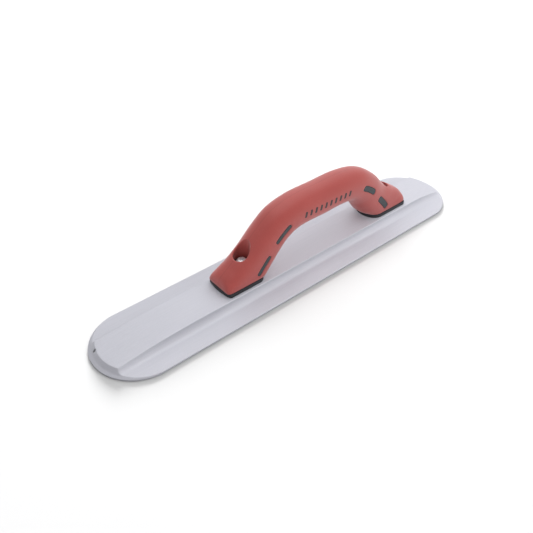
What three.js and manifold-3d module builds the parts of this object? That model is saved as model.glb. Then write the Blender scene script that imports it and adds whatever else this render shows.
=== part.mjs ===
// Round-ended magnesium hand float: an extruded blade with a raised rib, and a curved handle
// screwed down on the rib. Millimetres, +Z up, blade underside on Z = 0, blade along X.
import * as THREE from 'three';
import { mergeVertices } from 'three/addons/utils/BufferGeometryUtils.js';
import Module from 'manifold-3d';

const wasm = await Module();
wasm.setup();

// ---- driving dimensions ----------------------------------------------------------------
const GAP = 0.3;                 // clearance around a piece let into another
const SEAT_GAP = 0.1;            // clearance between flat faces that are screwed together

const BLADE_LENGTH = 406.4;      // 16 in
const BLADE_WIDTH = 79.4;        // 3-1/8 in
const EDGE_THICKNESS = 2.4;
const EDGE_ROUND = 0.7;
const FLANGE_ROOT = 3.2;         // flange thickness where the rib's fillet begins
const RIB_HEIGHT = 10.6;
const RIB_HALF_WIDTH = 18;
const RIB_FILLET = 6.4;
const RIB_ROUND = 0.8;
const END_LAND = 1.6;            // upright part of the round ends
const END_SHOULDER = 3;          // height where the edge bevel turns up the end of the rib
const END_CHAMFER = 3;           // how far the round end is drawn in at the shoulder
const END_BEVEL = 10.4;          // how far it would be drawn in at the full height of the rib

// The top of the rib is level along the middle and falls gently towards each end.
const CREST_ENDS = [
  { levelTo: -120, bend: -137, endHeight: 5.9 },
  { levelTo: 150, bend: 163, endHeight: 4.9 },
];

const PAD_THICKNESS = 3.9;
const PAD_HALF_WIDTH = 15.4;
const GRIP_BASE = RIB_HEIGHT + PAD_THICKNESS + 2 * SEAT_GAP;

const SKIN = 2.4;                // thickness of the soft grip over the core
const CORE_WALL = 2.6;
const CORE_SOLE = 6;             // solid height of the core above each foot

const BORE_LINING = 1.8;         // soft skin lining the counterbore
const BORE_BOSS = 2.2;           // core wall around the lining
const SEAT = 27.4;               // height of the washer's seat in the core
const HOLE_RADIUS = 2.8;         // screw clearance through the core
const PAD_HOLE_RADIUS = 3.4;     // looser clearance through the pad
const SCREW_RADIUS = 2.3;
const SCREW_TIP = 3.6;
const HEAD_RADIUS = 4.4;
const HEAD_HEIGHT = 3.2;
const HEAD_RIM = 1.4;            // upright edge of the pan head, below its dome
const DRIVE_WIDTH = 1.2;
const DRIVE_SPAN = 5;
const DRIVE_DEPTH = 1.8;
const WASHER_RADIUS = 5.6;
const WASHER_THICKNESS = 1.2;
const INSERT_RADIUS = 3.6;
const INSERT_DEPTH = 7.4;

// Each foot: its screw's X, the radius of the counterbore that the screw head sits in, where the
// pad's straight sides start and end, and its two ends.
const FEET = [
  { name: 'front', screwX: -56.3, bore: 7.7, sideFrom: -48, innerEnd: -38, corner: -80.8, outerEnd: -82.9 },
  { name: 'rear', screwX: 120.5, bore: 6.5, sideFrom: 107, innerEnd: 95.2, corner: 142.6, outerEnd: 145.6 },
];

// Inlays on each flank: the ends of the bar's centre line in X and Z, how far it bows away
// from the straight line, its width and the radius of its corners.
const INLAY_DEPTH = 1.3;
const INLAYS = [
  { name: 'front_lower', from: [-50, 19.2], to: [-36.8, 34.5], bow: 0.2, width: 4.2, corner: 1.9 },
  { name: 'front_upper', from: [-29.7, 44.2], to: [-13.7, 56.6], bow: 0.6, width: 4.2, corner: 1.9 },
  { name: 'rear_upper', from: [76.8, 56.2], to: [93.2, 44.9], bow: 0.5, width: 5.4, corner: 1.6 },
  { name: 'rear_lower', from: [101.4, 34.8], to: [114.2, 19.6], bow: 0.4, width: 5.6, corner: 1.8 },
];

// The handle is lofted through these sections, from the front foot to the rear foot. Each has a
// point on the outer (palm) outline and one on the inner (finger) outline, the half width, how
// square the outer and inner halves are, and the share of its depth taken by the inner half.
const SECTIONS = [
  { outer: [-82.4, GRIP_BASE], inner: [-37, GRIP_BASE], width: 14.9, square: [14, 2.6], share: 0.24 },
  { outer: [-82.6, 18], inner: [-34, 16.5], width: 15.2, square: [8, 2.6], share: 0.28 },
  { outer: [-80, 23.5], inner: [-30.5, 19.5], width: 15.3, square: [3.6, 2.7], share: 0.34 },
  { outer: [-70, 31.2], inner: [-25.5, 25], width: 15.3, square: [2.5, 2.8], share: 0.42 },
  { outer: [-56, 42.5], inner: [-19, 32], width: 15.3, square: [2.2, 2.7], share: 0.48 },
  { outer: [-42, 55.5], inner: [-12, 38], width: 15.3, square: [2.2, 2.5], share: 0.5 },
  { outer: [-25, 68], inner: [-3, 42], width: 15.4, square: [2.2, 2.3], share: 0.5 },
  { outer: [-2, 73.8], inner: [8, 43.4], width: 15.5, square: [2.2, 2.2], share: 0.5 },
  { outer: [30, 74.3], inner: [30, 43.2], width: 15.6, square: [2.2, 2.2], share: 0.5 },
  { outer: [60, 74], inner: [52, 43.8], width: 15.6, square: [2.2, 2.2], share: 0.5 },
  { outer: [84, 68.8], inner: [67, 41.5], width: 15.5, square: [2.2, 2.2], share: 0.5 },
  { outer: [103, 56], inner: [76, 34.5], width: 15.4, square: [2.2, 2.2], share: 0.5 },
  { outer: [117, 41.5], inner: [81.5, 27], width: 15.4, square: [2.2, 2.2], share: 0.42 },
  { outer: [131, 32.2], inner: [86, 21], width: 15.4, square: [2.4, 2.3], share: 0.36 },
  { outer: [143.4, 22.5], inner: [91, 17], width: 15.2, square: [3.4, 2.4], share: 0.3 },
  { outer: [145.2, GRIP_BASE], inner: [95.6, GRIP_BASE], width: 14.9, square: [9, 2.4], share: 0.24 },
];
const OUTSIDE = { steps: 45, sides: 28 };   // fineness of the handle's visible surface
const INSIDE = { steps: 30, sides: 16 };    // fineness of the surfaces inside it
const ABOVE = 90;                           // a height clear above the whole float
const BESIDE = 200;                         // a distance clear beyond the handle

// ---- looks -----------------------------------------------------------------------------
const MAGNESIUM = { color: 0xc8c9d0, roughness: 0.42, metalness: 0.9 };
const RED_SKIN = { color: 0xa84e47, roughness: 0.55, metalness: 0 };
const DARK_INLAY = { color: 0x4a4d52, roughness: 0.5, metalness: 0 };
const BLACK_PAD = { color: 0x26282c, roughness: 0.6, metalness: 0 };
const CORE_PLASTIC = { color: 0x3a3a3d, roughness: 0.5, metalness: 0 };
const STEEL = { color: 0xd2d4d8, roughness: 0.25, metalness: 1 };

// ---- helpers ---------------------------------------------------------------------------
function toSolid(geometry) {
  const bare = geometry.clone();
  bare.deleteAttribute('normal');
  bare.deleteAttribute('uv');
  const merged = mergeVertices(bare, 1e-4);
  const triVerts = [];
  for (let i = 0; i < merged.index.count; i += 3) {
    const [a, b, c] = [0, 1, 2].map((corner) => merged.index.getX(i + corner));
    if (a !== b && b !== c && c !== a) triVerts.push(a, b, c);
  }
  return new wasm.Manifold(new wasm.Mesh({
    numProp: 3,
    vertProperties: new Float32Array(merged.attributes.position.array),
    triVerts: new Uint32Array(triVerts),
  }));
}

function toGeometry(solid) {
  const { vertProperties, triVerts } = solid.getMesh();
  const geometry = new THREE.BufferGeometry();
  geometry.setAttribute('position', new THREE.BufferAttribute(new Float32Array(vertProperties), 3));
  geometry.setIndex(new THREE.BufferAttribute(new Uint32Array(triVerts), 1));
  geometry.computeVertexNormals();
  return geometry;
}

function upright(radius, bottom, top, x = 0, sides = 24) {
  const geometry = new THREE.CylinderGeometry(radius, radius, top - bottom, sides);
  geometry.rotateX(Math.PI / 2);
  geometry.translate(x, 0, (top + bottom) / 2);
  return toSolid(geometry);
}

function block(low, high) {
  const geometry = new THREE.BoxGeometry(...high.map((value, axis) => value - low[axis]));
  geometry.translate(...high.map((value, axis) => (value + low[axis]) / 2));
  return toSolid(geometry);
}

// A skin of quads over rings of points, closed by a fan at each end.
function skinRings(rings) {
  const sides = rings[0].length;
  const positions = rings.flat().flatMap((point) => point.toArray());
  const index = [];
  for (let ring = 0; ring + 1 < rings.length; ring += 1) {
    for (let side = 0; side < sides; side += 1) {
      const a = ring * sides + side;
      const b = ring * sides + (side + 1) % sides;
      index.push(a, b + sides, b, a, a + sides, b + sides);
    }
  }
  for (const last of [false, true]) {
    const ring = last ? rings.length - 1 : 0;
    const centre = new THREE.Vector3();
    rings[ring].forEach((point) => centre.addScaledVector(point, 1 / sides));
    const middle = positions.length / 3;
    positions.push(...centre.toArray());
    for (let side = 0; side < sides; side += 1) {
      const a = ring * sides + side;
      const b = ring * sides + (side + 1) % sides;
      index.push(...(last ? [middle, b, a] : [middle, a, b]));
    }
  }
  const geometry = new THREE.BufferGeometry();
  geometry.setAttribute('position', new THREE.BufferAttribute(new Float32Array(positions), 3));
  geometry.setIndex(index);
  return toSolid(geometry);
}

// ---- handle loft -----------------------------------------------------------------------
function outline(side) {
  const points = SECTIONS.map((section) => new THREE.Vector3(section[side][0], 0, section[side][1]));
  return new THREE.CatmullRomCurve3(points, false, 'centripetal');
}

const outerLine = outline('outer');
const innerLine = outline('inner');

// A section's value part of the way along the handle, on straight lines between sections.
function along(values, t) {
  const place = t * (values.length - 1);
  const low = Math.min(Math.floor(place), values.length - 2);
  return THREE.MathUtils.lerp(values[low], values[low + 1], place - low);
}

function sectionRing(t, inset, sides) {
  const inner = innerLine.getPoint(t);
  const axis = outerLine.getPoint(t).sub(inner);
  const depth = axis.length() - 2 * inset;
  axis.normalize();
  const share = along(SECTIONS.map((section) => section.share), t);
  const width = along(SECTIONS.map((section) => section.width), t) - inset;
  const centre = inner.addScaledVector(axis, inset + share * depth);
  const ring = [];
  for (let side = 0; side < sides; side += 1) {
    const angle = 2 * Math.PI * side / sides;
    const [up, across] = [Math.cos(angle), Math.sin(angle)];
    const half = up >= 0 ? 0 : 1;
    const power = 2 / along(SECTIONS.map((section) => section.square[half]), t);
    const reach = depth * (half === 0 ? 1 - share : share);
    const point = centre.clone().addScaledVector(axis, reach * Math.sign(up) * Math.abs(up) ** power);
    point.y = width * Math.sign(across) * Math.abs(across) ** power;
    ring.push(point);
  }
  return ring;
}

// The handle's solid, shrunk by an inset, and drawn down below the feet if asked.
function handleLoft(inset, { steps, sides }, below = 0) {
  const rings = [];
  for (let step = 0; step <= steps; step += 1) {
    rings.push(sectionRing(step / steps, inset, sides));
  }
  if (below > 0) {
    const lowered = (ring) => ring.map((point) => point.clone().setZ(point.z - below));
    rings.unshift(lowered(rings[0]));
    rings.push(lowered(rings[rings.length - 1]));
  }
  return skinRings(rings);
}

// ---- blade -----------------------------------------------------------------------------
function bladeSection() {
  const halfWidth = BLADE_WIDTH / 2;
  const edgeY = halfWidth - EDGE_ROUND;
  const edgeZ = EDGE_THICKNESS - EDGE_ROUND;
  const ribY = RIB_HALF_WIDTH - RIB_ROUND;
  const ribZ = RIB_HEIGHT - RIB_ROUND;
  const filletY = RIB_HALF_WIDTH + RIB_FILLET;
  const filletZ = FLANGE_ROOT + RIB_FILLET;
  const quarter = Math.PI / 2;
  const shape = new THREE.Shape();
  shape.moveTo(edgeY, 0);
  shape.lineTo(halfWidth, EDGE_ROUND);
  shape.absarc(edgeY, edgeZ, EDGE_ROUND, 0, quarter, false);
  shape.absarc(filletY, filletZ, RIB_FILLET, -quarter, -2 * quarter, true);
  shape.absarc(ribY, ribZ, RIB_ROUND, 0, quarter, false);
  shape.absarc(-ribY, ribZ, RIB_ROUND, quarter, 2 * quarter, false);
  shape.absarc(-filletY, filletZ, RIB_FILLET, 0, -quarter, true);
  shape.absarc(-edgeY, edgeZ, EDGE_ROUND, quarter, 2 * quarter, false);
  shape.lineTo(-halfWidth, EDGE_ROUND);
  shape.lineTo(-edgeY, 0);
  shape.closePath();
  return shape;
}

// The blade's plan outline at one height, with its round ends drawn in along X.
function bladeOutline(drawnIn, height, arcSteps = 24) {
  const radius = BLADE_WIDTH / 2;
  const centre = BLADE_LENGTH / 2 - radius - drawnIn;
  const ring = [];
  for (const way of [1, -1]) {
    for (let step = 0; step <= arcSteps; step += 1) {
      const angle = Math.PI * (step / arcSteps - 0.5);
      const x = way * (centre + radius * Math.cos(angle));
      const y = way * (radius + GAP) * Math.sin(angle);
      ring.push(new THREE.Vector3(x, y, height));
    }
  }
  return ring.reverse();
}

// The blade's side view, which gives the rib its level middle and falling ends.
function crestProfile() {
  const [left, right] = CREST_ENDS;
  const end = BLADE_LENGTH / 2 + GAP;
  const level = RIB_HEIGHT + GAP;
  const shape = new THREE.Shape();
  shape.moveTo(-end, -GAP);
  shape.lineTo(end, -GAP);
  shape.lineTo(end, right.endHeight);
  shape.quadraticCurveTo(right.bend, level, right.levelTo, level);
  shape.lineTo(left.levelTo, level);
  shape.quadraticCurveTo(left.bend, level, -end, left.endHeight);
  shape.closePath();
  return shape;
}

function makeBlade() {
  const depth = BLADE_LENGTH + 2 * GAP;
  const bar = new THREE.ExtrudeGeometry(bladeSection(), { depth, bevelEnabled: false, curveSegments: 6 });
  bar.translate(0, 0, -depth / 2);
  bar.rotateX(Math.PI / 2);
  bar.rotateZ(Math.PI / 2);
  const ends = skinRings([
    bladeOutline(0, -GAP),
    bladeOutline(0, END_LAND),
    bladeOutline(END_CHAMFER, END_SHOULDER),
    bladeOutline(END_BEVEL, RIB_HEIGHT + GAP),
  ]);
  const crest = new THREE.ExtrudeGeometry(crestProfile(), { depth: BLADE_WIDTH, bevelEnabled: false });
  crest.translate(0, 0, -BLADE_WIDTH / 2);
  crest.rotateX(Math.PI / 2);
  let blade = toSolid(bar).intersect(ends).intersect(toSolid(crest));
  for (const { screwX } of FEET) {
    const floor = RIB_HEIGHT - INSERT_DEPTH - GAP;
    blade = blade.subtract(upright(INSERT_RADIUS + GAP, floor, ABOVE, screwX));
  }
  return blade;
}

// ---- feet and fasteners ----------------------------------------------------------------
function makePad({ screwX, sideFrom, innerEnd, corner, outerEnd }) {
  const front = innerEnd > sideFrom;
  const endAngle = front ? -Math.PI / 2 : 1.5 * Math.PI;
  const shape = new THREE.Shape();
  shape.moveTo(corner, -PAD_HALF_WIDTH);
  shape.quadraticCurveTo(2 * outerEnd - corner, 0, corner, PAD_HALF_WIDTH);
  shape.lineTo(sideFrom, PAD_HALF_WIDTH);
  shape.absellipse(sideFrom, 0, Math.abs(innerEnd - sideFrom), PAD_HALF_WIDTH, Math.PI / 2, endAngle, front);
  shape.closePath();
  const plate = new THREE.ExtrudeGeometry(shape, {
    depth: PAD_THICKNESS,
    bevelEnabled: false,
    curveSegments: 12,
  });
  plate.translate(0, 0, RIB_HEIGHT + SEAT_GAP);
  return toSolid(plate).subtract(upright(PAD_HOLE_RADIUS, 0, ABOVE, screwX));
}

function makeInsert({ screwX }) {
  const bottom = RIB_HEIGHT - INSERT_DEPTH;
  const sleeve = upright(INSERT_RADIUS, bottom, RIB_HEIGHT, screwX);
  return sleeve.subtract(upright(SCREW_RADIUS + GAP, 0, ABOVE, screwX));
}

function makeWasher({ screwX }) {
  const bottom = SEAT + SEAT_GAP;
  const disc = upright(WASHER_RADIUS, bottom, bottom + WASHER_THICKNESS, screwX);
  return disc.subtract(upright(HOLE_RADIUS, 0, ABOVE, screwX));
}

function makeScrew({ screwX }) {
  const headBase = SEAT + WASHER_THICKNESS + 2 * SEAT_GAP;
  const headTop = headBase + HEAD_HEIGHT;
  const profile = [
    [0, SCREW_TIP],
    [SCREW_RADIUS * 0.7, SCREW_TIP],
    [SCREW_RADIUS, SCREW_TIP + 1],
    [SCREW_RADIUS, headBase],
    [HEAD_RADIUS, headBase],
  ].map(([radius, height]) => new THREE.Vector2(radius, height));
  const domeSteps = 5;
  for (let step = 0; step <= domeSteps; step += 1) {
    const angle = Math.PI / 2 * step / domeSteps;
    const height = headBase + HEAD_RIM + (headTop - headBase - HEAD_RIM) * Math.sin(angle);
    profile.push(new THREE.Vector2(step === domeSteps ? 0 : HEAD_RADIUS * Math.cos(angle), height));
  }
  const turned = new THREE.LatheGeometry(profile, 24);
  turned.rotateX(Math.PI / 2);
  turned.translate(screwX, 0, 0);
  let screw = toSolid(turned);
  for (const [spanX, spanY] of [[DRIVE_SPAN, DRIVE_WIDTH], [DRIVE_WIDTH, DRIVE_SPAN]]) {
    screw = screw.subtract(block(
      [screwX - spanX / 2, -spanY / 2, headTop - DRIVE_DEPTH],
      [screwX + spanX / 2, spanY / 2, ABOVE],
    ));
  }
  return screw;
}

// ---- inlays ----------------------------------------------------------------------------
// A bar through one flank of the handle, bent along its length and with rounded corners.
function inlayBar({ from, to, bow, width, corner }, flank, grow) {
  const start = new THREE.Vector2(...from);
  const run = new THREE.Vector2(...to).sub(start);
  const length = run.length();
  run.normalize();
  const radius = corner + grow;
  const [halfLength, halfWidth] = [length / 2 + grow, width / 2 + grow];
  const cornerSteps = 4;
  const points = [];
  for (let quarter = 0; quarter < 4; quarter += 1) {
    for (let step = 0; step <= cornerSteps; step += 1) {
      const angle = Math.PI / 2 * (quarter + step / cornerSteps);
      const signX = quarter === 0 || quarter === 3 ? 1 : -1;
      const signY = quarter < 2 ? 1 : -1;
      const s = signX * (halfLength - radius) + radius * Math.cos(angle);
      const straight = signY * (halfWidth - radius) + radius * Math.sin(angle);
      const t = straight + bow * (1 - (2 * s / length) ** 2);
      const middle = start.clone().addScaledVector(run, length / 2 + s);
      points.push(middle.add(new THREE.Vector2(-run.y, run.x).multiplyScalar(t)));
    }
  }
  const depth = 2 * SECTIONS[0].width;
  const bar = new THREE.ExtrudeGeometry(new THREE.Shape(points), { depth, bevelEnabled: false });
  bar.rotateX(Math.PI / 2);
  bar.translate(0, flank > 0 ? depth + 1 : -1, 0);
  return toSolid(bar);
}

const flanks = [{ name: 'left', way: 1 }, { name: 'right', way: -1 }];
const flushSkin = handleLoft(SEAT_GAP, OUTSIDE);
const inlayFloor = handleLoft(INLAY_DEPTH, OUTSIDE);
const pocketFloor = handleLoft(INLAY_DEPTH + GAP, OUTSIDE);

function makeInlay(inlay, flank) {
  return inlayBar(inlay, flank, 0).intersect(flushSkin).subtract(inlayFloor);
}

// ---- handle ----------------------------------------------------------------------------
function makeGrip() {
  let cavity = handleLoft(SKIN, INSIDE, PAD_THICKNESS);
  let grip = handleLoft(0, OUTSIDE);
  for (const { screwX, bore } of FEET) {
    cavity = cavity.subtract(upright(bore + BORE_LINING, SEAT + GAP, ABOVE, screwX));
    grip = grip.subtract(upright(bore, SEAT, ABOVE, screwX));
  }
  grip = grip.subtract(cavity);
  for (const inlay of INLAYS) {
    for (const { way } of flanks) {
      grip = grip.subtract(inlayBar(inlay, way, GAP).subtract(pocketFloor));
    }
  }
  return grip;
}

function makeCoreHalf(way) {
  let core = handleLoft(SKIN + GAP, INSIDE);
  const hollowFloor = block([-BESIDE, -BESIDE, 0], [BESIDE, BESIDE, GRIP_BASE + CORE_SOLE]);
  let hollow = handleLoft(SKIN + GAP + CORE_WALL, INSIDE).subtract(hollowFloor);
  for (const { screwX, bore } of FEET) {
    const shaft = bore + BORE_LINING + GAP;
    hollow = hollow.subtract(upright(shaft + BORE_BOSS, 0, ABOVE, screwX));
    core = core.subtract(upright(shaft, SEAT, ABOVE, screwX));
    core = core.subtract(upright(HOLE_RADIUS, 0, ABOVE, screwX));
  }
  const half = way > 0
    ? block([-BESIDE, GAP / 2, 0], [BESIDE, BESIDE, ABOVE])
    : block([-BESIDE, -BESIDE, 0], [BESIDE, -GAP / 2, ABOVE]);
  return core.subtract(hollow).intersect(half);
}

// ---- assembly --------------------------------------------------------------------------
const handFloat = new THREE.Group();

function add(name, solid, look) {
  const mesh = new THREE.Mesh(toGeometry(solid), new THREE.MeshStandardMaterial(look));
  mesh.name = name;
  handFloat.add(mesh);
}

add('float_blade', makeBlade(), MAGNESIUM);
add('soft_grip', makeGrip(), RED_SKIN);
for (const { name, way } of flanks) {
  add(`handle_core_${name}`, makeCoreHalf(way), CORE_PLASTIC);
  for (const inlay of INLAYS) {
    add(`inlay_${name}_${inlay.name}`, makeInlay(inlay, way), DARK_INLAY);
  }
}
for (const foot of FEET) {
  add(`${foot.name}_foot_pad`, makePad(foot), BLACK_PAD);
  add(`${foot.name}_thread_insert`, makeInsert(foot), STEEL);
  add(`${foot.name}_washer`, makeWasher(foot), STEEL);
  add(`${foot.name}_screw`, makeScrew(foot), STEEL);
}

export default handFloat;
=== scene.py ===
"""Looks of a round-ended magnesium hand float with a curved soft-grip handle, over its CAD frame.

Lengths are millimetres in the frame's axes, turned into metres where a mesh or the camera is made.
The floor and the lamps are placed and sized in metres.
"""

import math

import bmesh
import bpy
import numpy as np
from mathutils import Matrix, Vector
from mathutils.bvhtree import BVHTree
from mathutils.geometry import delaunay_2d_cdt


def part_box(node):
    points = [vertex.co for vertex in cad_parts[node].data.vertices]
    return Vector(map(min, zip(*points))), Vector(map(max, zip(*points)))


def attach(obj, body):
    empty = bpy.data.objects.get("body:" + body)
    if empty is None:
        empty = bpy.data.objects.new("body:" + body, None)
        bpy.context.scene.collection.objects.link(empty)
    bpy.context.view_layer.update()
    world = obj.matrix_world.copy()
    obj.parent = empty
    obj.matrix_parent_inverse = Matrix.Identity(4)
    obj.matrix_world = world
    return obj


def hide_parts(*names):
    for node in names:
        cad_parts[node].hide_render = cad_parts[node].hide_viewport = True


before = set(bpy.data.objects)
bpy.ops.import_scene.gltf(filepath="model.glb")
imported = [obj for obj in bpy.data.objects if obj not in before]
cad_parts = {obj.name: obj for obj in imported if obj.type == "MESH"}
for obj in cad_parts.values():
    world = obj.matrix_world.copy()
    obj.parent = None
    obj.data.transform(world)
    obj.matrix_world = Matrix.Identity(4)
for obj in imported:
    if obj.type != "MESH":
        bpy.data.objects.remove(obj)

MM = 0.001
scene = bpy.context.scene
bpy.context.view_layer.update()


def cad_range(node):
    """A CAD node's lowest and highest corner, in millimetres."""
    low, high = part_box(node)
    return np.array(low) / MM, np.array(high) / MM


# ---- driving dimensions, from the frame ---------------------------------------------------
blade_low, blade_high = cad_range("float_blade")
BLADE_LENGTH = blade_high[0] - blade_low[0]
BLADE_RADIUS = blade_high[1]
RIB_TOP = blade_high[2]
GRIP_BASE, GRIP_TOP = (corner[2] for corner in cad_range("soft_grip"))
SCREW_TOP = cad_range("front_screw")[1][2]
WASHER_LOW, WASHER_HIGH = (corner[2] for corner in cad_range("front_washer"))
SCREW_X = {
    foot: np.mean([corner[0] for corner in cad_range(f"{foot}_screw")]) for foot in ("front", "rear")
}

# ---- the blade's section and ends ---------------------------------------------------------
EDGE_THICKNESS = 2.4
EDGE_ROUND = 0.7
FLANGE_ROOT = 3.2
RIB_HALF_WIDTH = 18
RIB_ROUND = 0.8
RIB_FILLET = 6.4
END_LAND = 1.6
END_SHOULDER = 3
END_CHAMFER = 3
END_BEVEL = 10.4
CREST_RISE = 0.3            # the crest curve runs this far above the level part of the rib
CRESTS = {-1: (120, 137, 5.9), 1: (150, 163, 4.9)}   # each end: level to, bend, height at the end
BLEND = 0.45                # softening of the creases between the blade's faces
NICK = (-196.4, 10.6)       # a small dent in the bevel of the front end
NICK_RADIUS = 1.5
NICK_DEPTH = 0.9
RIM_FOOT = [(0.45, 0.0), (0.13, 0.09), (0, 0.3), (0, 0.86)]     # inward, share of the land's height
RIM_PLACES = [0, 0.05, 0.16, 0.35, *np.arange(0.6, 9.3, 0.3), 9.9, 11, 13, 16, 20, 26, 34]   # inward
MIDDLE_CLEAR = 30           # the places near the rim stop this far from the blade's middle
MIDDLE_PLACES = 16
ARC_STEPS, CORNER_STEPS, FILLET_STEPS, EDGE_STEPS = 34, 5, 12, 6
NICK_SLICES = (-1.0, -0.5, 0, 0.5, 1.0)
SLICE_GAP = 0.015           # slices closer together than this are one

# ---- the handle ---------------------------------------------------------------------------
# Outer (palm) point, inner (finger) point, half width, squareness of the outer and inner
# halves, and the inner half's share of the depth, from the front foot to the rear foot.
SECTIONS = [
    ((-82.4, GRIP_BASE), (-37, GRIP_BASE), 14.9, 14, 2.6, 0.24),
    ((-82.6, 18), (-34, 16.5), 15.2, 8, 2.6, 0.28),
    ((-80, 23.5), (-30.5, 19.5), 15.3, 3.6, 2.7, 0.34),
    ((-70, 31.2), (-25.5, 25), 15.3, 2.5, 2.8, 0.42),
    ((-56, 42.5), (-19, 32), 15.3, 2.2, 2.7, 0.48),
    ((-42, 55.5), (-12, 38), 15.3, 2.2, 2.5, 0.5),
    ((-25, 68), (-3, 42), 15.4, 2.2, 2.3, 0.5),
    ((-2, 73.8), (8, 43.4), 15.5, 2.2, 2.2, 0.5),
    ((30, 74.3), (30, 43.2), 15.6, 2.2, 2.2, 0.5),
    ((60, 74), (52, 43.8), 15.6, 2.2, 2.2, 0.5),
    ((84, 68.8), (67, 41.5), 15.5, 2.2, 2.2, 0.5),
    ((103, 56), (76, 34.5), 15.4, 2.2, 2.2, 0.5),
    ((117, 41.5), (81.5, 27), 15.4, 2.2, 2.2, 0.42),
    ((131, 32.2), (86, 21), 15.4, 2.4, 2.3, 0.36),
    ((143.4, 22.5), (91, 17), 15.2, 3.4, 2.4, 0.3),
    ((145.2, GRIP_BASE), (95.6, GRIP_BASE), 14.9, 9, 2.4, 0.24),
]
SKIN_DEPTH = 2.4                        # thickness of the soft skin
RIM_TURN = [(0.4, 0), (0.12, 0.1)]      # the lower rims turn in: how far, at which height
RIM_SPAN = 0.007                        # share of the handle's length that a turned rim takes
OUTER_RINGS, OUTER_SIDES = 200, 104
INNER_RINGS, INNER_SIDES = 60, 48
BORES = {"front": 7.5, "rear": 6.3}      # radius of the counterbore over each screw
BORE_LIP = 0.9                          # radius of the rolled edge of its mouth
LIP_STEPS = 5
BORE_REACH = (19, 13.3)                 # a mouth lies within this of its screw, along and across
LINING = 2                              # soft skin lining a counterbore
BORE_FLOOR = WASHER_LOW + 0.2
BORE_ANGLES = [2 * math.pi * k / 64 for k in range(64)]
RAY_ABOVE, RAY_ASIDE = 200, 60          # where the rays that find the handle's surface start
SURFACE_SLACK = 0.3                     # a point this close to the surface is on it
# Faces this near a cut in a skin are rebuilt: round a pocket, a counterbore and its lining.
POCKET_MARGIN, BORE_MARGIN, LINING_MARGIN = 0.8, 0.6, 0.8
FLANK_FROM = 4                          # the flank's points lie further out than this

# Bars let into or printed on the flanks: centre line's ends in X and Z, bow, width, corner radius.
INLAYS = {
    "front_lower": ((-50, 19.2), (-36.8, 34.5), 0.2, 4.2, 1.9),
    "front_upper": ((-29.7, 44.2), (-13.7, 56.6), 0.6, 4.2, 1.9),
    "rear_upper": ((76.8, 56.2), (93.2, 44.9), 0.9, 5.4, 2.1),
    "rear_lower": ((101.4, 34.8), (114.2, 19.6), 0.4, 5.6, 1.8),
}
INLAY_DEPTH = 1.3
# Steps of a plate's edge from its hidden face to its crown: growth of the outline, depth.
INLAY_STEPS = [
    (0, INLAY_DEPTH), (0, 0.3), (-0.06, 0.1), (-0.25, 0), (-0.7, -0.02), (-1.2, -0.03), (-1.6, -0.03),
]
DASH_STEPS = [(0, 0.1), (0, -0.03), (-0.1, -0.07), (-0.3, -0.08)]
POCKET_GAP = 0.25                       # room round an inlay in its pocket
POCKET_MOUTH = POCKET_GAP + 0.25
POCKET_STEPS = [
    (POCKET_MOUTH, 0), (POCKET_GAP + 0.08, 0.06), (POCKET_GAP, 0.25), (POCKET_GAP, INLAY_DEPTH + 0.3),
]
DASH_COUNT = 10
DASH_FIRST, DASH_LAST = (3.5, 59.7), (57.5, 59.1)
DASH_LENGTH = 5.6
DASH_LEAN = 1.3
DASH_WIDTH = 2.5
DASH_CORNER = 0.8

# ---- the feet and fasteners ---------------------------------------------------------------
PAD_THICKNESS = 3.9
PAD_GAP = 0.1                           # between the pad and the rib
PAD_HALF_WIDTH = 15.4
# Each pad in X: where its straight sides start, its inner end, its outer corners and outer end.
PADS = {"front": (-48, -38, -80.8, -82.9), "rear": (107, 95.2, 142.6, 145.6)}
PAD_CORNER, PAD_CORNER_POWER = 1.2, 24  # how far the outer corners are eased back, and how sharply
PAD_HOLE = 3.4
SHANK_RADIUS, HEAD_RADIUS, HEAD_HEIGHT, HEAD_RIM = 2.3, 4.4, 3.2, 1.9
DOME_STEPS = 9
# The cross recess: height over the head's top, reach of its arms, half their width.
RECESS = [(-1.8, 1.2, 0.45), (-1.2, 1.7, 0.5), (0.4, 2.5, 0.62)]
WASHER_RADIUS, WASHER_HOLE, WASHER_SOFT = 5.6, 2.8, 0.15


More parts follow.
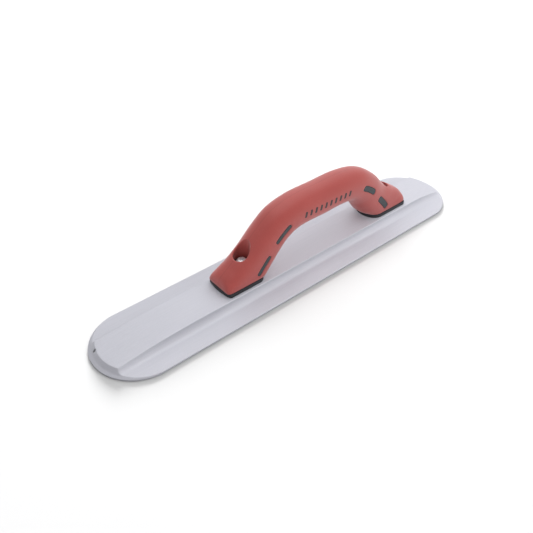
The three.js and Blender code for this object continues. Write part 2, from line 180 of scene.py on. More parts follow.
# ---- node materials -----------------------------------------------------------------------
class Look:
    """A material built from nodes, with short names for the nodes used here."""

    def __init__(self, name, **sockets):
        self.material = bpy.data.materials.new(name)
        self.material.use_nodes = True
        self.tree = self.material.node_tree
        self.shader = self.tree.nodes["Principled BSDF"]
        for socket, value in sockets.items():
            self.shader.inputs[socket.replace("_", " ")].default_value = value
        self.place = self.tree.nodes.new("ShaderNodeTexCoord").outputs["Object"]

    def node(self, kind, **inputs):
        made = self.tree.nodes.new(kind)
        for name, value in inputs.items():
            socket = made.inputs[name.replace("_", " ")]
            if isinstance(value, bpy.types.NodeSocket):
                self.tree.links.new(value, socket)
            else:
                socket.default_value = value
        return made

    def stretched(self, x, y, z):
        """Object coordinates in millimetres, scaled along each axis."""
        mapping = self.node("ShaderNodeMapping", Vector=self.place, Scale=(x / MM, y / MM, z / MM))
        return mapping.outputs["Vector"]

    def noise(self, vector, detail=3.0, rough=0.5):
        made = self.node("ShaderNodeTexNoise", Vector=vector, Scale=1.0, Detail=detail, Roughness=rough)
        return made.outputs["Fac"]

    def math(self, operation, *values):
        made = self.tree.nodes.new("ShaderNodeMath")
        made.operation = operation
        for place, value in enumerate(values):
            if isinstance(value, bpy.types.NodeSocket):
                self.tree.links.new(value, made.inputs[place])
            else:
                made.inputs[place].default_value = value
        return made.outputs[0]

    def remap(self, value, low, high, to_low, to_high, smooth=False):
        made = self.tree.nodes.new("ShaderNodeMapRange")
        made.interpolation_type = "SMOOTHSTEP" if smooth else "LINEAR"
        self.tree.links.new(value, made.inputs["Value"])
        ranges = {"From Min": low, "From Max": high, "To Min": to_low, "To Max": to_high}
        for name, number in ranges.items():
            made.inputs[name].default_value = number
        return made.outputs["Result"]

    def mix(self, share, first, second):
        made = self.tree.nodes.new("ShaderNodeMix")
        made.data_type = "RGBA"
        self.tree.links.new(share, made.inputs["Factor"])
        for socket, value in ((made.inputs[6], first), (made.inputs[7], second)):
            if isinstance(value, bpy.types.NodeSocket):
                self.tree.links.new(value, socket)
            else:
                socket.default_value = (*value, 1)
        return made.outputs[2]

    def bump(self, height, distance_mm, strength, after=None):
        made = self.node("ShaderNodeBump", Height=height, Strength=strength, Distance=distance_mm * MM)
        if after is not None:
            self.tree.links.new(after, made.inputs["Normal"])
        return made.outputs["Normal"]

    def set(self, **links):
        for name, value in links.items():
            self.tree.links.new(value, self.shader.inputs[name.replace("_", " ")])
        return self.material


def magnesium_look():
    look = Look("magnesium", Metallic=0.25)
    cloud = look.noise(look.stretched(0.012, 0.03, 0.03), detail=4)
    streak = look.noise(look.stretched(0.02, 1.6, 1.6), detail=3, rough=0.6)
    grain = look.noise(look.stretched(1.4, 1.4, 1.4), detail=4, rough=0.7)
    tone = look.mix(look.remap(cloud, 0.3, 0.7, 0, 1), (0.435, 0.436, 0.476), (0.46, 0.461, 0.502))
    tone = look.mix(look.remap(streak, 0.35, 0.75, 0, 0.4), tone, (0.375, 0.377, 0.42))
    tone = look.mix(look.remap(grain, 0.4, 0.7, 0, 0.3), tone, (0.355, 0.357, 0.4))
    rough = look.remap(look.math("ADD", streak, grain), 0.6, 1.4, 0.44, 0.56)
    # Painted shade: the metal round the nick is darkened in its colour, standing in for the shade in the
    # small dent.
    from_nick = (-NICK[0] * MM, -NICK[1] * MM, 0)
    away = look.node("ShaderNodeMapping", Vector=look.place, Location=from_nick, Scale=(1, 1, 0))
    reach = look.node("ShaderNodeVectorMath", Vector=away.outputs["Vector"])
    reach.operation = "LENGTH"
    edge = NICK_RADIUS * MM
    nick_shade = look.remap(reach.outputs["Value"], 0.5 * edge, 1.2 * edge, 1, 0, smooth=True)
    tone = look.mix(nick_shade, tone, (0.12, 0.12, 0.13))
    fine = look.bump(streak, 0.02, 0.5)
    return look.set(Base_Color=tone, Roughness=rough, Normal=look.bump(grain, 0.03, 0.6, after=fine))


def red_skin_look():
    look = Look("red_skin", Sheen_Weight=0.25, Sheen_Roughness=0.5)
    cloud = look.noise(look.stretched(0.05, 0.05, 0.05), detail=3)
    grain = look.noise(look.stretched(2.2, 2.2, 2.2), detail=4, rough=0.65)
    speck = look.noise(look.stretched(0.7, 0.7, 0.7), detail=5, rough=0.7)
    axes = look.node("ShaderNodeSeparateXYZ", Vector=look.place)
    aside = look.math("ABSOLUTE", axes.outputs["Y"])
    seam = look.remap(aside, 0.2 * MM, 0.7 * MM, 1, 0, smooth=True)
    tone = look.mix(look.remap(cloud, 0.3, 0.7, 0, 1), (0.378, 0.060, 0.051), (0.405, 0.067, 0.057))
    tone = look.mix(look.remap(speck, 0.35, 0.7, 0, 0.25), tone, (0.31, 0.05, 0.043))
    tone = look.mix(look.math("MULTIPLY", seam, 0.3), tone, (0.22, 0.04, 0.036))
    rough = look.remap(look.math("ADD", cloud, speck), 0.6, 1.4, 0.44, 0.56)
    skin = look.bump(grain, 0.03, 0.5)
    return look.set(Base_Color=tone, Roughness=rough, Normal=look.bump(seam, 0.05, 0.4, after=skin))


def moulded_look(name, low, high, rough, grain_size=0.5, depth=0.03):
    """A matt moulded plastic: two close tones, a fine grain and a slightly uneven sheen."""
    look = Look(name)
    cloud = look.noise(look.stretched(0.15, 0.15, 0.15), detail=4)
    grain = look.noise(look.stretched(*[1 / grain_size] * 3), detail=4, rough=0.6)
    tone = look.mix(look.remap(look.math("ADD", cloud, grain), 0.7, 1.3, 0, 1), low, high)
    sheen = look.remap(grain, 0.3, 0.7, rough - 0.06, rough + 0.06)
    return look.set(Base_Color=tone, Roughness=sheen, Normal=look.bump(grain, depth, 0.6))


def steel_look(name, tone, rough):
    look = Look(name, Metallic=0.6)
    cloud = look.noise(look.stretched(0.8, 0.8, 0.8), detail=4)
    dark = tuple(0.8 * channel for channel in tone)
    colour = look.mix(look.remap(cloud, 0.35, 0.7, 0, 1), tone, dark)
    return look.set(
        Base_Color=colour,
        Roughness=look.remap(cloud, 0.3, 0.7, rough - 0.05, rough + 0.08),
        Normal=look.bump(cloud, 0.02, 0.4),
    )


def floor_look():
    look = Look("studio_floor", Roughness=0.9)
    look.shader.inputs["Specular IOR Level"].default_value = 0.1
    cloud = look.noise(look.stretched(0.01, 0.01, 0.01), detail=2)
    return look.set(Base_Color=look.mix(cloud, (0.52, 0.52, 0.52), (0.53, 0.53, 0.53)))


MAGNESIUM = magnesium_look()
RED_SKIN = red_skin_look()
INLAY_PLASTIC = moulded_look("inlay_plastic", (0.034, 0.038, 0.042), (0.048, 0.054, 0.06), 0.55)
PAD_PLASTIC = moulded_look("pad_plastic", (0.014, 0.015, 0.018), (0.022, 0.024, 0.028), 0.6)
CORE_PLASTIC = moulded_look("core_plastic", (0.03, 0.03, 0.032), (0.045, 0.045, 0.05), 0.5, grain_size=0.9)
PRINT_INK = moulded_look("print_ink", (0.05, 0.032, 0.034), (0.065, 0.042, 0.044), 0.6, depth=0.01)
ZINC_STEEL = steel_look("zinc_steel", (0.9, 0.91, 0.94), 0.26)
PLAIN_STEEL = steel_look("plain_steel", (0.62, 0.62, 0.62), 0.36)


# ---- meshes -------------------------------------------------------------------------------
class Skin:
    """Points and faces of one piece, in millimetres."""

    def __init__(self):
        self.points = []
        self.faces = []

    def add(self, points):
        start = len(self.points)
        self.points.extend(np.asarray(point, float) for point in points)
        return list(range(start, len(self.points)))

    def band(self, first, second):
        """Quads between two closed rows of the same length."""
        for k in range(len(first)):
            after = (k + 1) % len(first)
            self.faces.append((first[k], first[after], second[after], second[k]))

    def bands(self, rows):
        for first, second in zip(rows, rows[1:]):
            self.band(first, second)

    def cap(self, row):
        """Quads across a long loop whose first and last points face each other."""
        half = len(row) // 2
        for k in range(half - 1):
            self.faces.append((row[k], row[k + 1], row[-2 - k], row[-1 - k]))

    def fan(self, row, centre):
        middle = self.add([centre])[0]
        for k in range(len(row)):
            self.faces.append((row[k], row[(k + 1) % len(row)], middle))

    def fill(self, edges, flat):
        """Triangles over the area that the edges enclose, laid out by flat, which maps points to 2-D.

        Four corners well outside keep straight runs of the edges from making slivers.
        """
        used = sorted({index for edge in edges for index in edge})
        local = {index: place for place, index in enumerate(used)}
        plane = [flat(self.points[index]) for index in used]
        inner = [(local[a], local[b]) for a, b in edges]
        low, high = np.min(plane, axis=0), np.max(plane, axis=0)
        far_low, far_high = 2 * low - high, 2 * high - low
        plane += [far_low, (far_high[0], far_low[1]), far_high, (far_low[0], far_high[1])]
        result = delaunay_2d_cdt([Vector(p) for p in plane], inner, [], 0, 1e-7)
        sources, triangles = result[3], result[2]
        starts = np.array([plane[a] for a, _ in inner])
        ends = np.array([plane[b] for _, b in inner])
        for triangle in triangles:
            corners = [sources[v][0] for v in triangle]
            middle = np.mean([plane[c] for c in corners], axis=0)
            if enclosed(middle, starts, ends):
                self.faces.append(tuple(used[c] for c in corners))

    def open(self, flat, outline, margin, on_side):
        """Takes away the faces near an outline and returns the edges of the hole they leave."""
        starts, ends = outline, np.roll(outline, -1, axis=0)
        near = set()
        for index, point in enumerate(self.points):
            if on_side(point):
                place = np.array(flat(point))
                if enclosed(place, starts, ends) or distance_to(place, starts, ends) < margin:
                    near.add(index)
        gone = [face for face in self.faces if not near.isdisjoint(face)]
        self.faces = [face for face in self.faces if near.isdisjoint(face)]
        sides = {}
        for face in gone:
            for a, b in zip(face, face[1:] + face[:1]):
                key = (min(a, b), max(a, b))
                sides[key] = sides.get(key, 0) + 1
        return [edge for edge, count in sides.items() if count == 1]

    def as_object(self, name):
        mesh = bpy.data.meshes.new(name)
        used = sorted({index for face in self.faces for index in face})
        local = {index: place for place, index in enumerate(used)}
        mesh.from_pydata(
            [tuple(self.points[index] * MM) for index in used],
            [],
            [tuple(local[index] for index in face) for face in self.faces],
        )
        shaped = bmesh.new()
        shaped.from_mesh(mesh)
        bmesh.ops.recalc_face_normals(shaped, faces=shaped.faces)
        shaped.to_mesh(mesh)
        shaped.free()
        return bpy.data.objects.new(name, mesh)

    def piece(self, name, look, replaces=(), sharp=None):
        return dressed(self.as_object(name), look, replaces, sharp)


def dressed(thing, look, replaces=(), sharp=None):
    """Puts a finished object in the scene with its material, body and material slot."""
    if thing.name not in scene.collection.objects:
        scene.collection.objects.link(thing)
    thing.data.materials.clear()
    thing.data.materials.append(look)
    thing.data.shade_smooth()
    if sharp is not None:
        thing.data.set_sharp_from_angle(angle=math.radians(sharp))
    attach(thing, "root")
    if replaces:
        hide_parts(*replaces)
    return thing


def enclosed(place, starts, ends):
    """True if a 2-D place is inside the edges, by the even-odd rule."""
    above = (starts[:, 1] > place[1]) != (ends[:, 1] > place[1])
    rise = np.where(above, ends[:, 1] - starts[:, 1], 1)
    crossing = starts[:, 0] + (place[1] - starts[:, 1]) * (ends[:, 0] - starts[:, 0]) / rise
    return bool(np.sum(above & (place[0] < crossing)) % 2)


def distance_to(place, starts, ends):
    run = ends - starts
    share = np.sum((place - starts) * run, axis=1) / np.maximum(np.sum(run * run, axis=1), 1e-12)
    nearest = starts + run * np.clip(share, 0, 1)[:, None]
    return float(np.min(np.linalg.norm(nearest - place, axis=1)))


def loop_edges(row):
    return [(row[k], row[(k + 1) % len(row)]) for k in range(len(row))]


# ---- blade --------------------------------------------------------------------------------
def soft_min(a, b):
    """The lower of two heights, softened where they meet."""
    overlap = np.clip(0.5 + 0.5 * (b - a) / BLEND, 0, 1)
    return b + (a - b) * overlap - BLEND * overlap * (1 - overlap)


def section_top(y):
    """Height of the extruded section at a distance from its middle."""
    y = abs(y)
    rib_y, rib_z = RIB_HALF_WIDTH - RIB_ROUND, RIB_TOP - RIB_ROUND
    fillet_y, fillet_z = RIB_HALF_WIDTH + RIB_FILLET, FLANGE_ROOT + RIB_FILLET
    edge_y, edge_z = BLADE_RADIUS - EDGE_ROUND, EDGE_THICKNESS - EDGE_ROUND
    if y <= rib_y:
        return RIB_TOP
    if y <= RIB_HALF_WIDTH:
        return rib_z + math.sqrt(max(RIB_ROUND**2 - (y - rib_y) ** 2, 0))
    if y <= fillet_y:
        return fillet_z - math.sqrt(max(RIB_FILLET**2 - (y - fillet_y) ** 2, 0))
    if y <= edge_y:
        share = (y - fillet_y) / (edge_y - fillet_y)
        return FLANGE_ROOT + (EDGE_THICKNESS - FLANGE_ROOT) * share
    return edge_z + math.sqrt(max(EDGE_ROUND**2 - (y - edge_y) ** 2, 0))


def section_bottom(y):
    over = max(abs(y) - (BLADE_RADIUS - EDGE_ROUND), 0)
    return EDGE_ROUND - math.sqrt(EDGE_ROUND**2 - over**2)


def crest_top(x):
    """Height of the rib's falling crest."""
    level_to, bend, end_height = CRESTS[1 if x > 0 else -1]
    level = RIB_TOP + CREST_RISE
    if abs(x) <= level_to:
        return level
    end = BLADE_LENGTH / 2 + CREST_RISE
    a, b, c = level_to - 2 * bend + end, 2 * (bend - level_to), level_to - abs(x)
    u = (-b + math.sqrt(b * b - 4 * a * c)) / (2 * a)
    return (1 - u * u) * level + u * u * end_height


def bevel_top(inward):
    """Height of the bevelled end at a distance in from the rim."""
    lower = END_LAND + inward * (END_SHOULDER - END_LAND) / END_CHAMFER
    slope = (RIB_TOP + CREST_RISE - END_SHOULDER) / (END_BEVEL - END_CHAMFER)
    upper = END_SHOULDER + (inward - END_CHAMFER) * slope
    return -soft_min(-lower, -upper)


def slice_places():
    """The Y of each lengthwise slice of the blade."""

    def turns(steps):
        return [math.pi / 2 * k / steps for k in range(steps + 1)]

    rib_y, past_rib = RIB_HALF_WIDTH - RIB_ROUND, RIB_HALF_WIDTH + 0.02
    arc = [BLADE_RADIUS * math.sin(turn) for turn in turns(ARC_STEPS)]
    corner = [rib_y + RIB_ROUND * math.sin(turn) for turn in turns(CORNER_STEPS)]
    fillet = [past_rib + RIB_FILLET * (1 - math.cos(turn)) for turn in turns(FILLET_STEPS)]
    edge = [BLADE_RADIUS - EDGE_ROUND * (1 - math.sin(turn)) for turn in turns(EDGE_STEPS)]
    half = sorted(set(np.round([*arc, *corner, *fillet, *edge], 4)))
    kept = [half[0]]
    for y in half[1:]:
        if y - kept[-1] > SLICE_GAP:
            kept.append(y)
    nick = [NICK[1] + step for step in NICK_SLICES]
    return sorted([-y for y in kept[1:]] + kept + nick)


def make_blade():
    """The extruded bar, cut round and bevelled at both ends, as lengthwise slices."""
    flat = BLADE_LENGTH / 2 - BLADE_RADIUS
    skin = Skin()
    slices = []
    for y in slice_places():
        rim = flat + math.sqrt(max(BLADE_RADIUS**2 - y * y, 0))
        top, bottom = section_top(y), section_bottom(y)
        inwards = [d for d in RIM_PLACES if d < rim - MIDDLE_CLEAR]
        middle = list(np.linspace(rim - inwards[-1], 0, MIDDLE_PLACES)[1:])
        places = [rim - d for d in inwards] + middle
        line = []
        for x in places + [-x for x in reversed(places[:-1])]:
            height = soft_min(soft_min(top, crest_top(x)), bevel_top(rim - abs(x)))
            away = math.hypot(x - NICK[0], y - NICK[1])
            line.append((x, y, height - NICK_DEPTH * math.exp(-((away / NICK_RADIUS) ** 2) * 2)))
        land = line[0][2] - bottom
        right = [(rim - inward, y, bottom + share * land) for inward, share in RIM_FOOT]
        left = [(-x, y, z) for x, _, z in reversed(right)]
        slices.append(skin.add(right + line + left))
    skin.bands(slices)
    skin.faces.append(tuple(slices[0]))
    skin.faces.append(tuple(slices[-1]))
    return skin.piece("blade_metal", MAGNESIUM, ["float_blade"], sharp=38)


# ---- handle -------------------------------------------------------------------------------
def centripetal(points, t):
    """A point on the centripetal Catmull-Rom curve through the points, t running from 0 to 1."""
    last = len(points) - 1
    k = min(int(t * last), last - 1)
    w = t * last - k
    p1, p2 = points[k], points[k + 1]
    p0 = points[k - 1] if k > 0 else 2 * p1 - p2
    p3 = points[k + 2] if k + 2 <= last else 2 * p2 - p1
    d0, d1, d2 = (np.linalg.norm(b - a) ** 0.5 for a, b in ((p0, p1), (p1, p2), (p2, p3)))
    m1 = ((p1 - p0) / d0 - (p2 - p0) / (d0 + d1) + (p2 - p1) / d1) * d1
    m2 = ((p2 - p1) / d1 - (p3 - p1) / (d1 + d2) + (p3 - p2) / d2) * d1
    return hermite(p1, p2, m1, m2, w)


def hermite(p1, p2, m1, m2, w):
    return (
        (2 * w**3 - 3 * w**2 + 1) * p1
        + (w**3 - 2 * w**2 + w) * m1
        + (3 * w**2 - 2 * w**3) * p2
        + (w**3 - w**2) * m2
    )


def eased(values, t):
    """A value along the handle, with no overshoot and no kink at the sections."""
    last = len(values) - 1
    k = min(int(t * last), last - 1)
    steps = np.diff(values)

    def slope(place):
        if place in (0, last):
            return steps[min(place, last - 1)]
        before, after = steps[place - 1], steps[place]
        return 0.0 if before * after <= 0 else 2 * before * after / (before + after)

    return hermite(values[k], values[k + 1], slope(k), slope(k + 1), t * last - k)


OUTER_LINE = [np.array(section[0], float) for section in SECTIONS]
INNER_LINE = [np.array(section[1], float) for section in SECTIONS]
WIDTHS, OUTER_SQUARE, INNER_SQUARE, SHARES = (
    [float(section[place]) for section in SECTIONS] for place in (2, 3, 4, 5)
)
TURN_WEIGHT = 3.0           # how strongly points gather where a section turns
QUARTER_POINTS = 241        # a quarter of a section is measured with this many points


def section_ring(t, inset, sides):
    """Points round one section of the handle, evenly spread and closer together at its corners."""
    inner, outer = centripetal(INNER_LINE, t), centripetal(OUTER_LINE, t)
    depth = np.linalg.norm(outer - inner)
    axis = (outer - inner) / depth
    depth -= 2 * inset
    share, width = eased(SHARES, t), eased(WIDTHS, t) - inset
    centre = inner + axis * (inset + share * depth)
    halves = ((eased(OUTER_SQUARE, t), depth * (1 - share)), (eased(INNER_SQUARE, t), depth * share))
    angle = np.linspace(0, math.pi / 2, QUARTER_POINTS)
    quarter = []
    for square, reach in halves:
        up, across = np.cos(angle).clip(0) ** (2 / square) * reach, np.sin(angle) ** (2 / square) * width
        step = np.hypot(np.diff(up), np.diff(across))
        heading = np.unwrap(np.arctan2(np.diff(across), np.diff(up)))
        turn = np.abs(np.diff(heading, prepend=heading[0]))
        travelled = np.concatenate([[0], np.cumsum(step + TURN_WEIGHT * turn)])
        wanted = np.linspace(0, travelled[-1], sides // 4 + 1)
        quarter.append((np.interp(wanted, travelled, up), np.interp(wanted, travelled, across)))
    (up_out, across_out), (up_in, across_in) = quarter
    ups = [*up_out, *-up_in[::-1][1:], *-up_in[1:], *up_out[::-1][1:-1]]
    acrosses = [*across_out, *across_in[::-1][1:], *-across_in[1:], *-across_out[::-1][1:-1]]
    return [
        (centre[0] + axis[0] * up, across, centre[1] + axis[1] * up) for up, across in zip(ups, acrosses)
    ]


def lofted(skin, inset, rings, sides, rounded):
    """Adds the handle's skin at an inset; rounded turns its lower rims in a little."""
    turned_in, clear = (RIM_TURN, RIM_SPAN) if rounded else ([], 0)
    rows = [lifted(section_ring(0, inset + inward, sides), rise) for inward, rise in turned_in]
    rows += [section_ring(t, inset, sides) for t in np.linspace(clear, 1 - clear, rings)]
    rows += [lifted(section_ring(1, inset + inward, sides), rise) for inward, rise in reversed(turned_in)]
    added = [skin.add(row) for row in rows]
    skin.bands(added)
    return added


def lifted(ring, rise):
    return [(x, y, z + rise) for x, y, z in ring]


def tree_of(skin):
    return BVHTree.FromPolygons([Vector(point) for point in skin.points], skin.faces)


def height_on(tree, x, y):
    """Height of the handle's upper side at a place seen from above."""
    return tree.ray_cast(Vector((x, y, RAY_ABOVE)), Vector((0, 0, -1)))[0].z


def flank_on(tree, x, z, way):
    """Y of the handle's flank at a place seen from that side."""
    return tree.ray_cast(Vector((x, way * RAY_ASIDE, z)), Vector((0, -way, 0)))[0].y


def circle(x, radius):
    return np.array([(x + radius * math.cos(a), radius * math.sin(a)) for a in BORE_ANGLES])


def from_above(point):
    return (point[0], point[1])


def from_side(point):
    return (point[0], point[2])


def bore_rows(tree, x, bore):
    """Rows of the counterbore's mouth: a rolled lip from the surface down to the straight wall."""
    near, far = bore + 0.5 * BORE_LIP, bore + 2.2 * BORE_LIP
    low, high = (np.array([height_on(tree, *place) for place in circle(x, reach)]) for reach in (near, far))
    slope = (high - low) / (far - near)
    slope = (np.roll(slope, 1) + 2 * slope + np.roll(slope, -1)) / 4
    at_wall = low - slope * (near - bore)
    lean = np.sqrt(1 + slope**2)
    centre = at_wall + slope * BORE_LIP - BORE_LIP * lean
    first = np.arctan2(1, -slope)
    rows = []
    for k in range(LIP_STEPS + 1):
        turn = first + (math.pi - first) * k / LIP_STEPS
        radius = bore + BORE_LIP + BORE_LIP * np.cos(turn)
        height = centre + BORE_LIP * np.sin(turn)
        row = [(x + r * math.cos(a), r * math.sin(a), h) for r, a, h in zip(radius, BORE_ANGLES, height)]
        if k == 0:
            row = [(px, py, height_on(tree, px, py)) for px, py, _ in row]
        rows.append(row)
    return rows


def wall_rows(top_row, floor, steps=4):
    rows = []
    for k in range(1, steps + 1):
        rows.append([(x, y, z + (floor - z) * k / steps) for x, y, z in top_row])
    return rows


def bar_outline(bar, grow, runs=12):
    """A bowed bar with rounded corners in X and Z, wider by grow all round."""
    start, end, bow, width, corner = bar
    start, end = np.array(start, float), np.array(end, float)
    length = np.linalg.norm(end - start)
    along = (end - start) / length
    across = np.array([-along[1], along[0]])
    radius = max(corner + grow, 0.05)
    half_length, half_width = length / 2 + grow, width / 2 + grow
    path = []
    for quarter in range(4):
        sign_s = 1 if quarter in (0, 3) else -1
        sign_t = 1 if quarter < 2 else -1
        for k in range(6):
            angle = math.pi / 2 * (quarter + k / 5)
            s = sign_s * (half_length - radius) + radius * math.cos(angle)
            path.append((s, sign_t * (half_width - radius) + radius * math.sin(angle)))
        if quarter in (0, 2):
            for k in range(1, runs):
                s = sign_s * (half_length - radius) * (1 - 2 * k / runs)
                path.append((s, sign_t * half_width))
    outline = []
    for s, t in path:
        place = start + along * (length / 2 + s) + across * (t + bow * (1 - (2 * s / length) ** 2))
        outline.append(place)
    return np.array(outline)


def flank_row(tree, bar, way, grow, depth):
    return [(x, flank_on(tree, x, z, way) - way * depth, z) for x, z in bar_outline(bar, grow)]


def make_grip():
    """Makes the soft skin with its pockets and counterbores, and returns the plain surface under them."""
    outer = Skin()
    outer_rows = lofted(outer, 0, OUTER_RINGS, OUTER_SIDES, rounded=True)
    for point in outer.points:
        point[2] = min(point[2], GRIP_TOP)
    surface = tree_of(outer)
    for way in (1, -1):
        for bar in INLAYS.values():
            mouth = bar_outline(bar, POCKET_MOUTH)
            edges = outer.open(from_side, mouth, POCKET_MARGIN, lambda p, way=way: p[1] * way > FLANK_FROM)
            rows = [outer.add(flank_row(surface, bar, way, grow, depth)) for grow, depth in POCKET_STEPS]
            outer.fill(edges + loop_edges(rows[0]), from_side)
            outer.bands(rows)
            outer.cap(rows[-1])
    inner_rows = lofted(outer, SKIN_DEPTH, INNER_RINGS, INNER_SIDES, rounded=False)
    hollow = Skin()
    lofted(hollow, SKIN_DEPTH, INNER_RINGS, INNER_SIDES, rounded=False)
    inside = tree_of(hollow)
    for foot, x in SCREW_X.items():
        lip = bore_rows(surface, x, BORES[foot])
        lining = circle(x, BORES[foot] + LINING)
        mouth = np.array([(px, py) for px, py, _ in lip[0]])
        edges = outer.open(from_above, mouth, BORE_MARGIN, lambda p, x=x: is_upper(p, x, surface))
        rows = [outer.add(row) for row in lip + wall_rows(lip[-1], BORE_FLOOR)]
        outer.fill(edges + loop_edges(rows[0]), from_above)
        outer.bands(rows)
        rim = [(px, py, height_on(inside, px, py)) for px, py in lining]
        edges = outer.open(from_above, lining, LINING_MARGIN, lambda p, x=x: is_upper(p, x, inside))
        sleeve = [outer.add(row) for row in [rim] + wall_rows(rim, BORE_FLOOR)]
        outer.fill(edges + loop_edges(sleeve[0]), from_above)
        outer.bands(sleeve)
        outer.band(sleeve[-1], rows[-1])
    for place in (0, -1):
        outer.fill(loop_edges(outer_rows[place]) + loop_edges(inner_rows[place]), from_above)
    outer.piece("grip_skin", RED_SKIN, ["soft_grip"], sharp=50)
    return surface


def is_upper(point, x, tree):
    """True for a point near the screw's axis that lies on the upper side of a skin."""
    if abs(point[0] - x) > BORE_REACH[0] or abs(point[1]) > BORE_REACH[1]:
        return False
    hit = tree.ray_cast(Vector((point[0], point[1], RAY_ABOVE)), Vector((0, 0, -1)))[0]
    return hit is not None and abs(hit.z - point[2]) < SURFACE_SLACK


def plate(skin, tree, bar, way, steps):
    """A solid plate on the flank, from its hidden face through its edge to its crown."""
    rows = [skin.add(flank_row(tree, bar, way, grow, depth)) for grow, depth in steps]
    skin.bands(rows)
    skin.cap(rows[0])
    skin.cap(rows[-1])


def make_inlays(surface):
    for side, way in (("left", 1), ("right", -1)):
        for place, bar in INLAYS.items():
            skin = Skin()
            plate(skin, surface, bar, way, INLAY_STEPS)
            replaced = [f"inlay_{side}_{place}"]
            skin.piece(f"bar_{side}_{place}", INLAY_PLASTIC, replaced, sharp=50)


def make_dashes(surface):
    """A row of plain slanted dashes printed on each flank."""
    skin = Skin()
    for way in (1, -1):
        for k in range(DASH_COUNT):
            share = k / (DASH_COUNT - 1)
            x, z = (first + (last - first) * share for first, last in zip(DASH_FIRST, DASH_LAST))
            low = (x - DASH_LEAN / 2, z - DASH_LENGTH / 2)
            high = (x + DASH_LEAN / 2, z + DASH_LENGTH / 2)
            plate(skin, surface, (low, high, 0, DASH_WIDTH, DASH_CORNER), way, DASH_STEPS)
    skin.piece("flank_dashes", PRINT_INK, sharp=50)


# ---- feet and fasteners -------------------------------------------------------------------
def pad_outline(foot, inset):
    """Plan of a foot pad: a gently bowed outer end, straight sides and a round inner end."""
    sides_from, inner_end, corner, outer_end = PADS[foot]
    way = 1 if inner_end > sides_from else -1
    half = PAD_HALF_WIDTH - inset
    reach = abs(inner_end - sides_from) - inset
    corner, outer_end = corner + way * inset, outer_end + way * inset
    angles = np.linspace(0, math.pi, 41)
    points = [(sides_from + way * reach * math.sin(a), half * math.cos(a)) for a in angles]
    for share in np.linspace(0, 1, 25):
        y = -half + 2 * half * share
        bulge = (1 - (y / half) ** 2) * (outer_end - corner)
        pull = way * PAD_CORNER * (abs(y) / half) ** PAD_CORNER_POWER
        points.append((corner + bulge + pull, y))
    return points


def make_pad(foot):
    """A flat pad with softened edges and a clearance hole."""
    skin = Skin()
    low = RIB_TOP + PAD_GAP
    high = low + PAD_THICKNESS
    levels = [(0.4, low), (0.12, low + 0.1), (0, low + 0.4)]
    levels += [(inset, low + high - level) for inset, level in reversed(levels)]
    rows = [skin.add([(x, y, z) for x, y in pad_outline(foot, inset)]) for inset, z in levels]
    skin.bands(rows)
    hole = [skin.add([(x, y, z) for x, y in circle(SCREW_X[foot], PAD_HOLE)]) for z in (low, high)]
    skin.band(*hole)
    for rim, mouth in ((rows[0], hole[0]), (rows[-1], hole[1])):
        skin.fill(loop_edges(rim) + loop_edges(mouth), from_above)
    skin.piece(f"{foot}_pad_moulding", PAD_PLASTIC, [f"{foot}_foot_pad"], sharp=50)


def turned(profile, x, sides=56):
    """A closed turned shape about the vertical axis at x; its profile starts and ends on the axis."""
    skin = Skin()
    rows = []
    for radius, height in profile[1:-1]:
        turns = [2 * math.pi * k / sides for k in range(sides)]
        rows.append(skin.add([(x + radius * math.cos(a), radius * math.sin(a), height) for a in turns]))
    skin.bands(rows)
    skin.fan(rows[0], (x, 0, profile[0][1]))
    skin.fan(rows[-1], (x, 0, profile[-1][1]))
    return skin


def cut_away(thing, cutter):
    """Takes the cutter's shape out of a mesh object and removes the cutter."""
    scene.collection.objects.link(thing)
    scene.collection.objects.link(cutter)
    modifier = thing.modifiers.new("cut", "BOOLEAN")
    modifier.object = cutter
    modifier.solver = "EXACT"
    shaped = bpy.data.meshes.new_from_object(thing.evaluated_get(bpy.context.evaluated_depsgraph_get()))
    thing.modifiers.clear()
    thing.data = shaped
    bpy.data.objects.remove(cutter)


def cross_outline(x, reach, width, height):
    """A cross about the vertical axis at x, as one loop: an arm's end and one inner corner, four times."""
    points = []
    for c, s in ((1, 0), (0, 1), (-1, 0), (0, -1)):
        for along, aside in ((reach, -width), (reach, width), (width, width)):
            points.append((x + c * along - s * aside, s * along + c * aside, height))
    return points


def make_screw(foot):
    """A pan-headed screw with a cross recess."""
    x = SCREW_X[foot]
    tip = cad_range(f"{foot}_screw")[0][2]
    base = SCREW_TOP - HEAD_HEIGHT
    profile = [(0, tip), (1.5, tip), (SHANK_RADIUS, tip + 1), (SHANK_RADIUS, base - 0.3)]
    profile += [(SHANK_RADIUS + 0.25, base), (HEAD_RADIUS - 0.2, base), (HEAD_RADIUS, base + 0.2)]
    profile.append((HEAD_RADIUS, base + HEAD_RIM))
    for k in range(1, DOME_STEPS):
        angle = math.pi / 2 * k / DOME_STEPS
        rise = (HEAD_HEIGHT - HEAD_RIM) * math.sin(angle)
        profile.append((HEAD_RADIUS * math.cos(angle) ** 0.8, base + HEAD_RIM + rise))
    profile += [(0.3, SCREW_TOP), (0, SCREW_TOP)]
    screw = turned(profile, x).as_object(f"{foot}_screw_turned")
    cross = Skin()
    rows = [cross.add(cross_outline(x, reach, width, SCREW_TOP + over)) for over, reach, width in RECESS]
    cross.bands(rows)
    cross.faces += [tuple(rows[0]), tuple(rows[-1])]
    cut_away(screw, cross.as_object("recess_cutter"))
    dressed(screw, ZINC_STEEL, [f"{foot}_screw"], sharp=32)


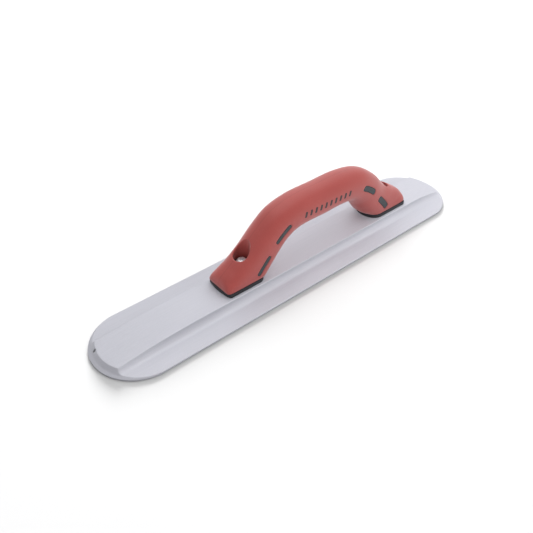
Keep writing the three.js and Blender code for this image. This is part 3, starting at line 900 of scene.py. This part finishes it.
def make_washer(foot):
    """A flat washer with softened edges."""
    skin = Skin()
    outer, inner, soft = WASHER_RADIUS, WASHER_HOLE, WASHER_SOFT
    ring = [(inner, WASHER_LOW), (outer - soft, WASHER_LOW), (outer, WASHER_LOW + soft)]
    ring += [(outer, WASHER_HIGH - soft), (outer - soft, WASHER_HIGH)]
    ring += [(inner + soft, WASHER_HIGH), (inner, WASHER_HIGH - soft)]
    rows = [skin.add([(px, py, z) for px, py in circle(SCREW_X[foot], radius)]) for radius, z in ring]
    skin.bands(rows + rows[:1])
    skin.piece(f"{foot}_washer_disc", ZINC_STEEL, [f"{foot}_washer"], sharp=32)


def dress_kept_nodes():
    """Gives the CAD nodes that stay their finished materials."""
    looks = {"handle_core": CORE_PLASTIC, "front_thread": PLAIN_STEEL, "rear_thread": PLAIN_STEEL}
    for name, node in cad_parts.items():
        for start, look in looks.items():
            if name.startswith(start):
                node.data.materials.clear()
                node.data.materials.append(look)


# ---- stage, light and camera --------------------------------------------------------------
# The world's brightness along an axis of direction: from, to, and its value at each.
WORLD_RAMPS = [("Z", 0.30, 0.8, 0.52, 0.40), ("Y", -0.6, 0.1, 0.9, 1.0)]


def make_floor():
    mesh = bpy.data.meshes.new("studio_floor")
    half = 3
    corners = [(-half, -half, 0), (half, -half, 0), (half, half, 0), (-half, half, 0)]
    mesh.from_pydata(corners, [], [(0, 1, 2, 3)])
    mesh.materials.append(floor_look())
    ground = bpy.data.objects.new("studio_floor", mesh)
    scene.collection.objects.link(ground)
    return ground


def make_world():
    """A pale studio all round: brightest low down on the +Y side, dimmer above and on the -Y side."""
    world = bpy.data.worlds.new("studio")
    scene.world = world
    world.use_nodes = True
    tree = world.node_tree
    background = tree.nodes["Background"]
    place = tree.nodes.new("ShaderNodeTexCoord")
    axes = tree.nodes.new("ShaderNodeSeparateXYZ")
    tree.links.new(place.outputs["Generated"], axes.inputs[0])
    shares = []
    for axis, low, high, at_low, at_high in WORLD_RAMPS:
        ramp = tree.nodes.new("ShaderNodeMapRange")
        ramp.interpolation_type = "SMOOTHSTEP"
        tree.links.new(axes.outputs[axis], ramp.inputs["Value"])
        ranges = {"From Min": low, "From Max": high, "To Min": at_low, "To Max": at_high}
        for name, number in ranges.items():
            ramp.inputs[name].default_value = number
        shares.append(ramp.outputs["Result"])
    both = tree.nodes.new("ShaderNodeMath")
    both.operation = "MULTIPLY"
    for number, share in enumerate(shares):
        tree.links.new(share, both.inputs[number])
    tree.links.new(both.outputs[0], background.inputs["Strength"])
    background.inputs["Color"].default_value = (0.985, 0.985, 1.0, 1)


def place_lamp(name, data, direction, distance):
    """A lamp out in a direction from the float and facing it."""
    lamp = bpy.data.objects.new(name, data)
    away = Vector(direction).normalized()
    lamp.location = away * distance
    lamp.rotation_euler = away.to_track_quat("Z", "Y").to_euler()
    scene.collection.objects.link(lamp)
    return lamp


def make_soft_light(name, direction, distance, size, power, in_reflections=False):
    data = bpy.data.lights.new(name, "AREA")
    data.shape = "RECTANGLE"
    data.size, data.size_y = size
    data.energy = power
    lamp = place_lamp(name, data, direction, distance)
    lamp.visible_glossy = in_reflections
    return lamp


def only_for(lamp, receiver, blocker):
    """Keeps a lamp's light to one object and lets only one object throw a shadow in it."""
    for use, thing in (("receiver", receiver), ("blocker", blocker)):
        only = bpy.data.collections.new(f"{lamp.name}_{use}")
        only.objects.link(thing)
        setattr(lamp.light_linking, f"{use}_collection", only)


def make_floor_light(ground, casting):
    """A broad low light on the floor alone, for the soft contact shadow that the blade throws."""
    data = bpy.data.lights.new("floor_light", "SUN")
    data.angle = math.radians(20)
    data.energy = 9
    only_for(place_lamp("floor_light", data, (0.60, 0.80, 0.30), 2), ground, casting)


def make_camera():
    """The viewpoint: direction, distance and a slight roll, aimed near the middle of the blade."""
    target = Vector((-21.4, 7.9, 0)) * MM
    azimuth, elevation, roll = (math.radians(angle) for angle in (-40.63, 39.91, 0.65))
    distance = 597.1 * MM
    back = Vector((
        math.sin(azimuth) * math.cos(elevation),
        -math.cos(azimuth) * math.cos(elevation),
        math.sin(elevation),
    ))
    data = bpy.data.cameras.new("photo_camera")
    data.sensor_width = 36
    data.lens = 43.63
    data.clip_start, data.clip_end = 0.02, 20
    camera = bpy.data.objects.new("photo_camera", data)
    turn = (-back).to_track_quat("-Z", "Y").to_matrix().to_4x4() @ Matrix.Rotation(roll, 4, "Z")
    camera.matrix_world = Matrix.Translation(target + back * distance) @ turn
    scene.collection.objects.link(camera)
    scene.camera = camera


make_camera()
make_world()
studio_floor = make_floor()
scene.view_settings.view_transform = "Standard"

blade = make_blade()
grip_surface = make_grip()
make_inlays(grip_surface)
make_dashes(grip_surface)
for foot_name in SCREW_X:
    make_pad(foot_name)
    make_screw(foot_name)
    make_washer(foot_name)
dress_kept_nodes()

make_floor_light(studio_floor, blade)
make_soft_light("overhead", (0.1, 0.1, 1), 1.3, (1.2, 1.2), 6.6, in_reflections=True)
make_soft_light("back_fill", (0.5, 0.8, 0.62), 0.95, (1.2, 0.8), 7)
only_for(make_soft_light("blade_light", (0.5, -0.25, 0.75), 0.8, (0.8, 0.6), 5), blade, blade)
make_soft_light("end_fill", (-0.85, -0.3, 0.3), 2.0, (1.5, 1.2), 4.5)
make_soft_light("front_fill", (0.7, -0.75, 0.5), 1.8, (1.5, 1.0), 14.4)

bpy.context.view_layer.update()
